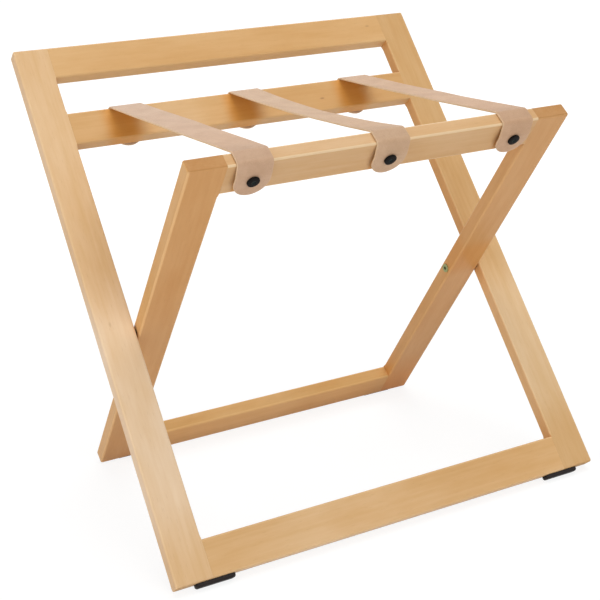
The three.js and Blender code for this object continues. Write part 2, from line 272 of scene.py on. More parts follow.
def board_rings(boards, length, ease):
    """A rail along Z about its middle: the rounded section carried from end to end, its ends eased."""
    inset, heights = end_rings(length, ease)
    half = np.array([boards.width, boards.thick]) / 2
    high = half - inset[:, None]
    radius = np.repeat(np.maximum(boards.edge_round - inset, MIN_RADIUS)[:, None], 4, 1)
    return stack_sections(rounded_sections(-high, high, radius, EDGE_STEPS), heights)


def stile_rings(boards, length, joints, side):
    """A stile along Z about its middle. Its edges are rounded, but on the side that faces the rails the
    rounding dies out over a smooth step before each joint, where rail and stile are sanded flush."""
    inset, end_heights = end_rings(length, boards.stile_ease)
    fade = np.linspace(0, 1, FADE_STEPS)
    middles, reach = np.asarray(joints)[:, None], boards.width / 2
    steps = np.concatenate([middles - reach - JOINT_FADE * fade, middles + reach + JOINT_FADE * fade])
    inside = np.abs(steps) < length / 2 - boards.stile_ease - 2 * SUPPORT
    heights = np.concatenate([end_heights, steps[inside]])
    inset = np.concatenate([inset, np.zeros(inside.sum())])
    order = np.argsort(heights)
    heights, inset = heights[order], inset[order]
    from_joint = np.min(np.abs(heights - middles), 0) - reach
    share = smooth(from_joint / JOINT_FADE)
    edge = np.maximum(boards.edge_round - inset, MIN_RADIUS)
    joint = boards.joint_round + (edge - boards.joint_round) * share
    joint = np.maximum(np.minimum(joint, edge), MIN_RADIUS)
    half = np.array([boards.width, boards.thick]) / 2
    low, high = inset[:, None] - half, half - inset[:, None]
    if side < 0:
        high[:, 0] = half[0]
        radius = np.stack([joint, edge, edge, joint], -1)
    else:
        low[:, 0] = -half[0]
        radius = np.stack([edge, joint, joint, edge], -1)
    return stack_sections(rounded_sections(low, high, radius, EDGE_STEPS), heights)


def turned_piece(name, profile, axes, phase):
    """A piece from a profile of (radius, height, hexagon share) turned about Z and placed by its axes. A
    share of 1 pulls the circle in to a hexagon with its corners on the radius, so one surface holds the
    head and its socket, which the share also marks."""
    profile = np.asarray(profile, float)
    angle = np.arange(TURNED_SIDES) * 2 * math.pi / TURNED_SIDES
    in_flat = (angle - phase) % (math.pi / 3) - math.pi / 6
    hexagon = math.cos(math.pi / 6) / np.cos(in_flat)
    share = profile[:, 2:3]
    radius = profile[:, 0:1] * (1 - share + share * hexagon)
    height = np.repeat(profile[:, 1:2], TURNED_SIDES, 1)
    rings = np.stack([radius * np.cos(angle), radius * np.sin(angle), height], -1)
    marks = {"socket": np.repeat(share, TURNED_SIDES, 1)}
    return ring_piece(name, moved(rings, axes), marks, weld=True)


# Materials


def new_material(name):
    """A material with an empty node tree and its Principled shader."""
    material = bpy.data.materials.new(name)
    material.use_nodes = True
    tree = material.node_tree
    return material, tree, tree.nodes["Principled BSDF"]


def fill(tree, made, inputs):
    """Links or sets a node's inputs by name or number."""
    for key, value in inputs.items():
        if isinstance(value, bpy.types.NodeSocket):
            tree.links.new(value, made.inputs[key])
        else:
            made.inputs[key].default_value = value


def node(tree, kind, inputs=None, **settings):
    """Adds a node, sets its options and fills its inputs."""
    made = tree.nodes.new(kind)
    for key, value in settings.items():
        setattr(made, key, value)
    fill(tree, made, inputs or {})
    return made


def vector_node(tree, operation, *values):
    """One step of vector arithmetic, which gives a number for a length or a dot product."""
    made = node(tree, "ShaderNodeVectorMath", dict(enumerate(values)), operation=operation)
    return made.outputs["Value" if operation in ("LENGTH", "DOT_PRODUCT") else "Vector"]


def scaled(tree, vector, scale):
    """A vector times a fixed scale on each axis."""
    return vector_node(tree, "MULTIPLY", vector, scale)


def mark(tree, name):
    """A value that the mesh keeps for every point."""
    return node(tree, "ShaderNodeAttribute", attribute_name=name).outputs["Fac"]


def noise(tree, vector, scale, detail, roughness, seed):
    """A noise value from 0 to 1."""
    return node(
        tree,
        "ShaderNodeTexNoise",
        {"Vector": vector, "W": seed, "Scale": scale, "Detail": detail, "Roughness": roughness},
        noise_dimensions="4D",
    ).outputs[0]


def math_node(tree, operation, *values):
    """One step of arithmetic."""
    return node(tree, "ShaderNodeMath", dict(enumerate(values)), operation=operation).outputs[0]


def ramp(tree, value, low, high, to_low=0.0, to_high=1.0):
    """A value mapped smoothly from one range to another."""
    return node(
        tree,
        "ShaderNodeMapRange",
        {0: value, 1: low, 2: high, 3: to_low, 4: to_high},
        interpolation_type="SMOOTHSTEP",
    ).outputs[0]


def mix(tree, share, first, second, blend="MIX"):
    """Two colours mixed by a share."""
    return node(
        tree,
        "ShaderNodeMix",
        {0: share, 6: first, 7: second},
        data_type="RGBA",
        blend_type=blend,
    ).outputs[2]


def bump(tree, height, distance, strength):
    """A normal from a height."""
    return node(
        tree, "ShaderNodeBump", {"Height": height, "Distance": distance, "Strength": strength}
    ).outputs[0]


# Divides the colour over a board's paler stretches.
PALE_TONE = (0.945, 0.895, 0.81)
# The amber of painted shade, where straps and crossing boards shade the wood.
PAINTED_SHADE = (1.0, 0.83, 0.37)
KNOT = (0.56, 0.36, 0.2)
# The share of a normal along an axis from which a face begins to count, and fully counts, as square on it.
SQUARE_ON = (0.55, 0.92)


class BoardLook(NamedTuple):
    """One board's own looks: shares of the tint, all over and on its narrow faces, where the narrow-face
    share is painted light and shade on those sides; how much paler its edges are, a painted highlight on the
    rounded edges; knots as (across, along, strength); and paler stretches, stretches of amber painted shade,
    and amber painted shade at each strap as (middle, reach, fade, strength), along the board or from the
    strap's middle."""

    tone: tuple
    narrow_face_light: tuple = (1, 1, 1)
    pale_edge_and_highlight: float = 0.2
    knots: tuple = ()
    pale: tuple = ()
    painted_shades: tuple = ()
    shade_at_straps: tuple = ()


def beech(name, matrix, half_thick, tint, end_tint, seed, pith, look, painted_shades):
    """Lacquered beech in the board's own axes: year rings about a pith outside the board, streaks and
    fibres drawn out along the grain, small dark flecks, a slow drift of tone, the board's own looks and
    darker end grain. Painted shades are stretches of deeper amber: painted shade where leather or a crossing
    board shades the wood."""
    material, tree, shader = new_material(name)
    place = node(tree, "ShaderNodeTexCoord").outputs
    at = node(
        tree,
        "ShaderNodeMapping",
        {
            "Vector": place["Object"],
            "Location": matrix.to_translation(),
            "Rotation": matrix.to_euler("XYZ"),
        },
        vector_type="TEXTURE",
    ).outputs[0]
    drift = noise(tree, scaled(tree, at, (1, 1, 0.3)), 14, 2, 0.5, seed)
    cloud = noise(tree, scaled(tree, at, (1, 1, 0.22)), 75, 3, 0.55, seed + 5.3)
    streak = noise(tree, scaled(tree, at, (1, 1, 0.02)), 230, 3, 0.6, seed + 1.7)
    fibre = noise(tree, scaled(tree, at, (1, 1, 0.02)), 1500, 2, 0.55, seed + 3.1)
    off_pith = vector_node(tree, "ADD", at, (*pith, 0))
    rings = node(
        tree,
        "ShaderNodeTexWave",
        {
            "Vector": scaled(tree, off_pith, (1, 1, 0.05)),
            "Scale": 95,
            "Distortion": 5.0,
            "Detail": 2,
            "Detail Scale": 0.35,
        },
        wave_type="RINGS",
        rings_direction="Z",
        wave_profile="SAW",
    ).outputs["Fac"]
    cells = node(
        tree, "ShaderNodeTexVoronoi", {"Vector": scaled(tree, at, (1, 1, 0.1)), "Scale": 620}
    ).outputs
    drawn = node(tree, "ShaderNodeSeparateColor", {0: cells["Color"]}).outputs[0]
    fleck = math_node(
        tree, "MULTIPLY", ramp(tree, cells["Distance"], 0.26, 0.1), ramp(tree, drawn, 0.62, 0.66)
    )

    deep = 0.0
    for value, weight in (
        (ramp(tree, streak, 0.28, 0.74), 0.17),
        (ramp(tree, rings, 0.1, 1.0), 0.06),
        (fibre, 0.17),
        (ramp(tree, cloud, 0.3, 0.7), 0.26),
        (ramp(tree, drift, 0.3, 0.7), 0.34),
    ):
        deep = math_node(tree, "MULTIPLY_ADD", value, weight, deep)
    colour = mix(tree, deep, tinted(tint, (1.03, 1.055, 1.12)), tinted(tint, (0.95, 0.9, 0.81)))
    length = node(tree, "ShaderNodeSeparateXYZ", {0: at}).outputs[2]
    # Paler stretches along the board, then amber stretches of painted shade where straps and crossing boards
    # shade it.
    for stretches, shade, blend in ((look.pale, PALE_TONE, "DIVIDE"), (painted_shades, PAINTED_SHADE, "MULTIPLY")):
        for middle, reach, fade, strength in stretches:
            away = math_node(tree, "ABSOLUTE", math_node(tree, "SUBTRACT", length, middle))
            share = ramp(tree, away, reach, reach - fade, 0, strength)
            colour = mix(tree, share, colour, linear(shade), blend)
    flecked = math_node(tree, "MULTIPLY", fleck, 0.16)
    colour = mix(tree, flecked, colour, tinted(tint, (0.78, 0.68, 0.58)))
    for across, along, strength in look.knots:
        gap = vector_node(tree, "SUBTRACT", at, (across, -half_thick, along))
        from_knot = vector_node(tree, "LENGTH", scaled(tree, gap, (1, 0.2, 0.45)))
        colour = mix(tree, ramp(tree, from_knot, 0.0022, 0.0004, 0, strength), colour, linear(KNOT))

    # Narrow faces look across the board and take painted light and shade, the rounded edges between two
    # faces take a painted highlight, end grain looks along it.
    facing = [
        math_node(
            tree,
            "ABSOLUTE",
            vector_node(tree, "DOT_PRODUCT", place["Normal"], matrix.col[axis][:3]),
        )
        for axis in range(3)
    ]
    # Painted light and shade: each board's narrow faces get their own share of the tint, lighter or darker
    # as those sides are lit.
    colour = mix(tree, ramp(tree, facing[0], *SQUARE_ON), colour, linear(look.narrow_face_light), "MULTIPLY")
    # A painted highlight: paler colour on the rounded long edges.
    edge = ramp(tree, math_node(tree, "MULTIPLY", facing[0], facing[1]), 0.02, 0.3, 0, look.pale_edge_and_highlight)
    colour = mix(tree, edge, colour, tinted(tint, (1.12, 1.22, 1.38)))
    end = ramp(tree, facing[2], *SQUARE_ON)
    rough = math_node(tree, "MULTIPLY_ADD", fibre, 0.12, 0.34)
    height = math_node(tree, "SUBTRACT", math_node(tree, "MULTIPLY", fibre, 0.6), fleck)
    finish = {
        "Base Color": mix(tree, end, colour, linear(end_tint), "MULTIPLY"),
        "Roughness": math_node(tree, "MULTIPLY_ADD", end, 0.14, rough),
        "Normal": bump(tree, height, 0.00012, 0.28),
        "Specular IOR Level": 0.14,
    }
    fill(tree, shader, finish)
    return material


def leather(name, settings, length, tone, painted_front_shade):
    """Natural leather on the strap's own UV, scaled back to metres: fine pebbled grain with pores, slow
    mottling, faint cross creases, painted light along the skin, deeper towards the front end and paler
    towards the back, painted shade over the front rail, smooth pale cut edges and a rough flesh side."""
    material, tree, shader = new_material(name)
    uv = node(tree, "ShaderNodeUVMap", uv_map="strap").outputs[0]
    at = node(
        tree, "ShaderNodeMapping", {"Vector": uv, "Scale": (settings.width, length, 1)}
    ).outputs[0]
    along = node(tree, "ShaderNodeSeparateXYZ", {0: uv}).outputs[1]
    rim, flesh = mark(tree, "rim"), mark(tree, "flesh")
    cloud = noise(tree, at, 38, 3, 0.55, 2.0)
    mottle = noise(tree, at, 260, 3, 0.6, 5.0)
    hair = noise(tree, scaled(tree, at, (1, 0.25, 1)), 1900, 3, 0.65, 9.0)
    crease = noise(tree, scaled(tree, at, (0.12, 1, 1)), 420, 2, 0.5, 13.0)
    pebble = node(
        tree, "ShaderNodeTexVoronoi", {"Vector": at, "Scale": 1150}, feature="DISTANCE_TO_EDGE"
    ).outputs["Distance"]
    valley = ramp(tree, pebble, 0.16, 0.0)

    tint = np.asarray(settings.grain_tint) * tone
    pale, deep = tinted(tint, (1.03, 1.035, 1.04)), tinted(tint, (0.965, 0.945, 0.925))
    colour = mix(tree, ramp(tree, cloud, 0.3, 0.72), pale, deep)
    spots = math_node(tree, "MULTIPLY", ramp(tree, mottle, 0.45, 0.8), 0.35)
    colour = mix(tree, spots, colour, tinted(tint, (0.92, 0.88, 0.84)))
    pores = math_node(tree, "MULTIPLY", valley, 0.3)
    colour = mix(tree, pores, colour, tinted(tint, (0.84, 0.78, 0.72)))
    # Painted light: the skin deeper towards the front end, paler towards the back.
    colour = mix(tree, ramp(tree, along, 0.9, 0.1), colour, linear(painted_front_shade), "MULTIPLY")
    # Painted shade on the leather over the front rail's edge.
    painted_shade_over_rail = math_node(
        tree, "MULTIPLY", ramp(tree, along, 0.092, 0.106), ramp(tree, along, 0.23, 0.125)
    )
    colour = mix(tree, painted_shade_over_rail, colour, linear((0.925, 0.915, 0.9)), "MULTIPLY")
    pale, deep = linear(settings.flesh_tint), tinted(settings.flesh_tint, (0.9, 0.87, 0.84))
    colour = mix(tree, flesh, colour, mix(tree, ramp(tree, hair, 0.3, 0.75), pale, deep))
    # The leather's own pale cut edges.
    pale_edge_and_highlight = math_node(tree, "MULTIPLY", rim, 0.8)

    rough = math_node(tree, "MULTIPLY_ADD", mottle, 0.14, 0.5)
    grain = math_node(tree, "MULTIPLY_ADD", crease, 0.5, math_node(tree, "MULTIPLY", valley, -0.5))
    fuzz = math_node(tree, "MULTIPLY", hair, math_node(tree, "MULTIPLY", flesh, 1.6))
    finish = {
        "Base Color": mix(tree, pale_edge_and_highlight, colour, linear(settings.edge_tint)),
        "Roughness": math_node(tree, "MULTIPLY_ADD", flesh, 0.3, rough),
        "Normal": bump(tree, math_node(tree, "ADD", grain, fuzz), 0.00016, 0.5),
        "Sheen Weight": 0.12,
        "Sheen Roughness": 0.6,
    }
    fill(tree, shader, finish)
    return material


def plated(name, tint, worn, socket_shade_and_glint, metallic, gloss, roughness):
    """Plated or blackened steel: fine turning marks and a mottled plate, with a share of its tint where it
    is worn and another painted in the socket: a darker share is painted shade, a paler one a painted glint."""
    material, tree, shader = new_material(name)
    at = node(tree, "ShaderNodeTexCoord").outputs["Object"]
    fine = noise(tree, at, 2600, 3, 0.6, 1.0)
    blotch = noise(tree, at, 420, 2, 0.5, 4.0)
    colour = mix(tree, ramp(tree, blotch, 0.35, 0.75), linear(tint), tinted(tint, worn))
    finish = {
        "Base Color": mix(tree, mark(tree, "socket"), colour, tinted(tint, socket_shade_and_glint)),
        "Roughness": math_node(tree, "MULTIPLY_ADD", fine, 0.18, roughness),
        "Normal": bump(tree, fine, 0.00003, 0.25),
        "Metallic": metallic,
        "Specular IOR Level": gloss,
    }
    fill(tree, shader, finish)
    return material


def moulded(name, tint, roughness):
    """Moulded rubber or nylon: a fine pebbled skin with dusty, slightly paler patches."""
    material, tree, shader = new_material(name)
    at = node(tree, "ShaderNodeTexCoord").outputs["Object"]
    skin = noise(tree, at, 1700, 3, 0.6, 2.0)
    dust = noise(tree, at, 130, 3, 0.6, 6.0)
    dusty = linear(np.clip(np.asarray(tint) * 1.3 + 0.03, 0, 1))
    finish = {
        "Base Color": mix(tree, ramp(tree, dust, 0.4, 0.8, 0, 0.5), linear(tint), dusty),
        "Roughness": math_node(tree, "MULTIPLY_ADD", dust, 0.2, roughness),
        "Normal": bump(tree, skin, 0.00008, 0.4),
        "Specular IOR Level": 0.2,
    }
    fill(tree, shader, finish)
    return material


def raw_dowel(tint):
    """Unfinished beech for the dowels: fine fibres along X."""
    material, tree, shader = new_material("raw_beech")
    at = node(tree, "ShaderNodeTexCoord").outputs["Object"]
    fibre = noise(tree, scaled(tree, at, (0.05, 1, 1)), 1200, 3, 0.6, 8.0)
    finish = {
        "Base Color": mix(tree, fibre, tinted(tint, 1.05), tinted(tint, 0.86)),
        "Roughness": math_node(tree, "MULTIPLY_ADD", fibre, 0.2, 0.6),
    }
    fill(tree, shader, finish)
    return material


# Frames


def frame_matrix(frame):
    """A frame's own axes at the pivot: Z up along its stiles, Y towards its back face."""
    lean = bpy.context.scene.rack_frame.lean * LEANS[frame]
    return Matrix.Translation(PIVOT) @ Matrix.Rotation(lean, 4, "X")


def half_width(frame):
    """Middle to the outside of a frame's stiles."""
    rack, boards = bpy.context.scene.rack_frame, bpy.context.scene.rack_boards
    if frame == "outer":
        return rack.width / 2
    return rack.width / 2 - boards.width - rack.side_gap


def rail_heights(frame):
    """Each rail's middle height in its frame's own axes."""
    rack, boards = bpy.context.scene.rack_frame, bpy.context.scene.rack_boards
    below_end = boards.width / 2
    heights = {"strap": rack.leg - below_end, "foot": below_end - rack.leg}
    if frame == "outer":
        heights["guard"] = rack.leg + rack.guard_rise - below_end
    return heights


def strap_pitch():
    """Middle of the middle strap to the middle of either side strap."""
    boards, straps = bpy.context.scene.rack_boards, bpy.context.scene.rack_straps
    return half_width("inner") - boards.width - straps.from_stile - straps.width / 2


def board_places():
    """Every board by name: its frame, its own axes (width, thickness and length) and its rings."""
    rack, boards = bpy.context.scene.rack_frame, bpy.context.scene.rack_boards
    rail_axes = Matrix.Rotation(math.pi / 2, 4, "Y")
    places = {}
    for frame in LEANS:
        top = rack.leg + (rack.guard_rise if frame == "outer" else 0)
        half = half_width(frame)
        heights = rail_heights(frame)
        middle = (top - rack.leg) / 2
        joints = [height - middle for height in heights.values()]
        for side, sign in SIDES.items():
            centre = Vector((sign * (half - boards.width / 2), 0, middle))
            axes = frame_matrix(frame) @ Matrix.Translation(centre)
            rings = stile_rings(boards, top + rack.leg, joints, sign)
            places[f"{frame}_stile_{side}"] = (frame, axes, rings)
        rings = board_rings(boards, 2 * (half - boards.width - boards.joint_gap), boards.joint_gap)
        for rail, height in heights.items():
            axes = frame_matrix(frame) @ Matrix.Translation((0, 0, height)) @ rail_axes
            places[f"{frame}_{rail}_rail"] = (frame, axes, rings)
    return places


# How far the pith lies to either side, and off the board's face, and how far the seeds of the grain spread.
PITH_SIDE = 0.05
PITH_OFF = (0.03, 0.09)
GRAIN_SEEDS = 100
# Each board's looks: the narrow-face shares are painted light and shade on its sides, the pale edges a
# painted highlight, the amber stretches painted shade.
BOARD_LOOKS = {
    "outer_stile_left": BoardLook(
        tone=(1.033, 1.042, 1.05),
        narrow_face_light=(0.978, 0.972, 0.982),
        pale_edge_and_highlight=0.1,
        knots=((-0.006, -0.0355, 0.18),),
        pale=((-0.145, 0.2, 0.12, 0.95),),
    ),
    "outer_stile_right": BoardLook(
        tone=(0.98, 0.962, 0.905), narrow_face_light=(1.0, 0.935, 0.86), pale=((-0.18, 0.14, 0.08, 0.9),)
    ),
    "outer_guard_rail": BoardLook(
        tone=(1.015, 1.01, 0.99), narrow_face_light=(1.0, 1.025, 1.06), knots=((-0.005, 0.232, 0.3),)
    ),
    "outer_strap_rail": BoardLook(
        tone=(1.0, 0.99, 0.97),
        narrow_face_light=(1.0, 1.015, 1.05),
        knots=((0.004, 0.114, 0.5),),
        pale=((-0.105, 0.05, 0.04, 0.5),),
        # Painted shade under each strap on the rail's front face.
        shade_at_straps=(-0.012, 0.032, 0.022, 0.65),
    ),
    "outer_foot_rail": BoardLook(tone=(1.035, 1.05, 1.08), pale=((-0.05, 0.18, 0.15, 0.35),)),
    "inner_stile_left": BoardLook(
        tone=(0.977, 0.893, 0.778), narrow_face_light=(1.018, 1.045, 1.05), pale_edge_and_highlight=0.5
    ),
    "inner_stile_right": BoardLook(
        tone=(0.97, 0.896, 0.8),
        narrow_face_light=(1.015, 1.02, 1.02),
        # Painted shade at the crossing and at the foot end.
        painted_shades=((0.03, 0.045, 0.03, 0.3), (-0.3, 0.11, 0.1, 0.6)),
    ),
    "inner_strap_rail": BoardLook(
        tone=(0.998, 1.005, 1.045),
        # A strong painted highlight along the front top edge.
        pale_edge_and_highlight=0.9,
        pale=((-0.1, 0.16, 0.13, 0.3),),
        # Painted shade in the gaps beside each tongue.
        shade_at_straps=(0.0, 0.021, 0.004, 0.5),
    ),
    "inner_foot_rail": BoardLook(
        tone=(1.015, 0.975, 0.89), narrow_face_light=(1.0, 1.02, 1.04), pale_edge_and_highlight=0.4, pale=((-0.02, 0.12, 0.1, 0.4),)
    ),
}


class RACK_OT_boards(bpy.types.Operator):
    """Makes the lacquered beech boards of both frames in place of the plain ones"""

    bl_idname = "rack.boards"
    bl_label = "Beech boards"

    def execute(self, context):
        boards = context.scene.rack_boards
        draw = np.random.default_rng(boards.seed)
        for name, (frame, axes, rings) in board_places().items():
            piece = ring_piece(f"beech_{name}", moved(rings, axes), {})
            look = BOARD_LOOKS[name]
            tint = np.asarray(boards.stile_tint if "stile" in name else boards.rail_tint) * look.tone
            pith = (draw.uniform(-PITH_SIDE, PITH_SIDE), draw.choice([-1, 1]) * draw.uniform(*PITH_OFF))
            seed = draw.uniform(0, GRAIN_SEEDS)
            # Painted shade: the board's own amber stretches, and one under each strap where the strap shades
            # the rail.
            painted_shades = list(look.painted_shades)
            if look.shade_at_straps:
                shift, *shade_stretch = look.shade_at_straps
                painted_shades += [(place * strap_pitch() + shift, *shade_stretch) for place in STRAP_PLACES.values()]
            finish = beech(
                f"beech_{name}", axes, boards.thick / 2, tint, boards.end_tint, seed, pith, look, painted_shades
            )
            piece.data.materials.append(finish)
            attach(piece, f"{frame}_frame")
            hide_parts(name)
        return {"FINISHED"}


# Straps

# Steps along the strap's line and the softness of its corners; where the level span starts from either tip;
# how far in from the cut edge the leather thins, and the power of that rounding.
LINE_STEP = 0.00025
LINE_SOFTNESS = 0.0008
SPAN_START = 0.085
BEND_STEP = 0.0008
EDGE_REACH = 0.0011
EDGE_POWER = 3.2

# Each strap's sag in its middle and how much lower its right edge hangs, its own share of the tint all
# along, and its share at the front, which paints light along the strap: deeper at the front, paler towards
# the back.
STRAP_SAGS = {"left": (0.0, -0.0006), "middle": (0.0054, 0.0036), "right": (0.0015, 0.0009)}
STRAP_TONES = {"left": (0.998, 1.016, 1.03), "middle": (0.99, 1.0, 0.985), "right": (0.975, 0.965, 0.935)}
STRAP_PAINTED_FRONTS = {"left": (0.98, 0.935, 0.88), "middle": (0.985, 0.955, 0.91), "right": (0.99, 0.955, 0.91)}
STRAP_SEED = 31

# Each ripple's length and rise, and how softly ripples and sag begin at the rails.
RIPPLES = ((0.21, 0.00018), (0.12, 0.0001), (0.07, 0.00006))
SPAN_SOFTNESS = 0.02

# The folded loop: its gap to the rails in thicknesses, where along the span it turns and how quickly, and
# the share of the span over which it leaves either rail.
LOOP_GAP = 0.7
LOOP_TURN_FROM = 0.36
LOOP_TURN_OVER = 0.28
LOOP_LEAVE = 0.06


def arc(centre, radius, start, end):
    """Points (y, z) of an arc, its angle counted from the front over the top."""
    angle = np.linspace(start, end, 60)
    return np.stack([centre[0] - radius * np.cos(angle), centre[1] + radius * np.sin(angle)], -1)


def sampled(points, places, at):
    """Points (y, z) given at places along a line, read at other places in straight steps between them."""
    return np.stack([np.interp(at, places, points[:, k]) for k in (0, 1)], -1)


def softened(line):
    """An even line of points, led on straight at both ends and run through a Gaussian."""
    steps = round(4 * LINE_SOFTNESS / LINE_STEP)
    kernel = np.exp(-0.5 * (np.arange(-steps, steps + 1) * LINE_STEP / LINE_SOFTNESS) ** 2)
    kernel /= kernel.sum()
    before = line[0] + (line[0] - line[1]) * np.arange(steps, 0, -1)[:, None]
    after = line[-1] + (line[-1] - line[-2]) * np.arange(1, steps + 1)[:, None]
    longer = np.concatenate([before, line, after])
    return np.stack([np.convolve(longer[:, k], kernel, "valid") for k in (0, 1)], -1)


def rail_crown():
    """The rounding of a strap rail's back top edge in its frame's own axes: the y and z of its centre, and
    the radius of the strap's middle line over it."""
    rack, boards = bpy.context.scene.rack_frame, bpy.context.scene.rack_boards
    straps = bpy.context.scene.rack_straps
    radius = boards.edge_round + straps.gap + straps.thick / 2
    return boards.thick / 2 - boards.edge_round, rack.leg - boards.edge_round, radius


def span_end():
    """Where the level span meets the back rail, as (y, z) about the pivot: straight above the centre of the
    rail's rounding. The front end is its mirror image."""
    lean = bpy.context.scene.rack_frame.lean
    edge, height, crown = rail_crown()
    y = height * math.sin(lean) - edge * math.cos(lean)
    return y, edge * math.sin(lean) + height * math.cos(lean) + crown


def strap_line():
    """The strap's middle line as points (y, z) about the pivot, evenly spaced from the front tip to the
    back tip: up the tongue, which hangs off the rail's face behind the screw head, round a wide arc in to
    the rail's front edge, over its two edges on small arcs, level to the other rail, and the mirror image
    down it. A Gaussian run along it takes off the corners."""
    rack, boards = bpy.context.scene.rack_frame, bpy.context.scene.rack_boards
    straps = bpy.context.scene.rack_straps
    hang = -boards.thick / 2 - straps.stand_off - straps.thick / 2
    edge, height, crown = rail_crown()
    run = (-edge - crown * math.cos(straps.lift) - hang) / math.tan(straps.lift)
    low = height + crown * math.sin(straps.lift) - run - straps.bend * math.tan(straps.lift / 2)
    local = np.concatenate(
        [
            [(hang, rack.leg - straps.tongue)],
            arc((hang + straps.bend, low), straps.bend, 0, straps.lift),
            arc((-edge, height), crown, straps.lift, math.pi / 2),
            arc((edge, height), crown, math.pi / 2, math.pi / 2 + rack.lean),
        ]
    )
    c, s = math.cos(rack.lean), math.sin(rack.lean)
    front = np.stack([local[:, 0] * c - local[:, 1] * s, local[:, 0] * s + local[:, 1] * c], -1)
    line = np.concatenate([front, front[::-1] * (-1, 1)])
    places = np.concatenate([[0], np.cumsum(np.linalg.norm(np.diff(line, axis=0), axis=1))])
    even = np.linspace(0, places[-1], round(places[-1] / LINE_STEP) + 1)
    return softened(sampled(line, places, even))


def strap_stations(length, width):
    """Places along the strap: crowded round each tip as the cosine of an even turn, close over the arches,
    wider on the level span."""
    radius = width / 2
    tip = radius * (1 - np.cos(np.linspace(0, math.pi / 2, 17)))
    bend = np.arange(radius, SPAN_START, BEND_STEP)[1:]
    span = np.linspace(SPAN_START, length - SPAN_START, 78)
    half = np.concatenate([tip, bend])
    return np.concatenate([half, span, length - half[::-1]])


def span_wave(s, x, length, sag, twist, phases):
    """How far a strap rises off its line at s along and x across: sines along it, less the sag and a twist
    from edge to edge, times a parabola over the span that dies out softly at both rails."""
    t = 0.5 + (s - length / 2) / (2 * span_end()[0])
    arch = 2 * t * (1 - t)
    ripple = sum(
        rise * np.sin(2 * math.pi * s / wave + phase) for (wave, rise), phase in zip(RIPPLES, phases)
    )
    width = bpy.context.scene.rack_straps.width
    return (arch + np.hypot(arch, SPAN_SOFTNESS)) * (ripple - sag - twist * x / width)


def strap_rings(line, x, sag, twist, phases):
    """A strap as rings: each ring runs over the top from edge to edge and back underneath. The outline is a
    stadium, and the thickness falls off towards it as a superellipse of the distance to it, so the cut
    edges and both tips are rounded alike. Returns rings, and for each point its UV, share of cut edge,
    share of flesh side and its height off the middle."""
    straps = bpy.context.scene.rack_straps
    length = (len(line) - 1) * LINE_STEP
    radius = straps.width / 2
    s = strap_stations(length, straps.width)
    places = np.arange(len(line)) * LINE_STEP
    middle = sampled(line, places, s)
    slope = np.gradient(line, axis=0)
    slope /= np.linalg.norm(slope, axis=1, keepdims=True)
    along = sampled(slope, places, s)
    along /= np.linalg.norm(along, axis=1, keepdims=True)
    up = np.stack([-along[:, 1], along[:, 0]], -1)
    into = np.clip(radius - np.minimum(s, length - s), 0, radius)[:, None]
    half = np.sqrt(np.clip(radius**2 - into**2, 0, None))
    turn = np.linspace(0, math.pi / 2, 9)[:-1]
    rim = EDGE_REACH * (1 - np.cos(turn) ** (2 / EDGE_POWER))
    from_edge = np.concatenate([rim, np.linspace(EDGE_REACH, radius, 9)]) / radius
    across = np.concatenate([from_edge - 1, (1 - from_edge)[-2::-1]]) * half
    reach = np.where(into > 0, radius - np.hypot(into, across), half - np.abs(across))
    inset = np.clip(1 - reach / EDGE_REACH, 0, 1)
    height = straps.thick / 2 * np.clip(1 - inset**EDGE_POWER, 0, 1) ** (1 / EDGE_POWER)
    x_ring = np.concatenate([across, across[:, -2:0:-1]], 1)
    off = np.concatenate([height, -height[:, -2:0:-1]], 1)
    lift = off + span_wave(s[:, None], x_ring, length, sag, twist, phases)
    y, z = (middle[:, None, k] + lift * up[:, None, k] for k in (0, 1))
    u = 0.5 + x_ring / straps.width
    v = np.repeat((s / length)[:, None], u.shape[1], 1)
    rim_share = np.concatenate([inset, inset[:, -2:0:-1]], 1) ** 2
    flesh = (off < 0).astype(float)
    return np.stack([x + x_ring, y, z], -1), np.stack([u, v], -1), rim_share, flesh, off


def slack_weights(points, off):
    """How far each point of a strap follows the outer frame. Folded, the slack hangs in a narrow loop: down
    the inner rail's back face, round, and up the outer rail's front face. The weight is what turns a point
    from its angle at rest to that place at the full fold."""
    rack, boards = bpy.context.scene.rack_frame, bpy.context.scene.rack_boards
    straps = bpy.context.scene.rack_straps
    end_y, level = span_end()
    y, z = points[:, 1] - PIVOT.y, points[:, 2] - PIVOT.z
    t = np.clip((y + end_y) / (2 * end_y), 0, 1)
    radius = np.hypot(y, level)
    at_rest = np.arctan2(y, z)
    off_face = np.arcsin((boards.thick / 2 + LOOP_GAP * straps.thick) / radius)
    inner = FOLD_ANGLE - rack.lean + off_face
    outer = rack.lean - off_face
    turned = smooth((t - LOOP_TURN_FROM) / LOOP_TURN_OVER)
    target = inner + (outer - inner) * turned + (1 - 2 * turned) * off / radius
    target += (1 - smooth(t / LOOP_LEAVE)) * (at_rest + FOLD_ANGLE - target)
    target += (1 - smooth((1 - t) / LOOP_LEAVE)) * (at_rest - target)
    weight = 1 - (target - at_rest) / FOLD_ANGLE
    return np.where(t <= 0, 0, np.where(t >= 1, 1, np.clip(weight, 0, 1)))


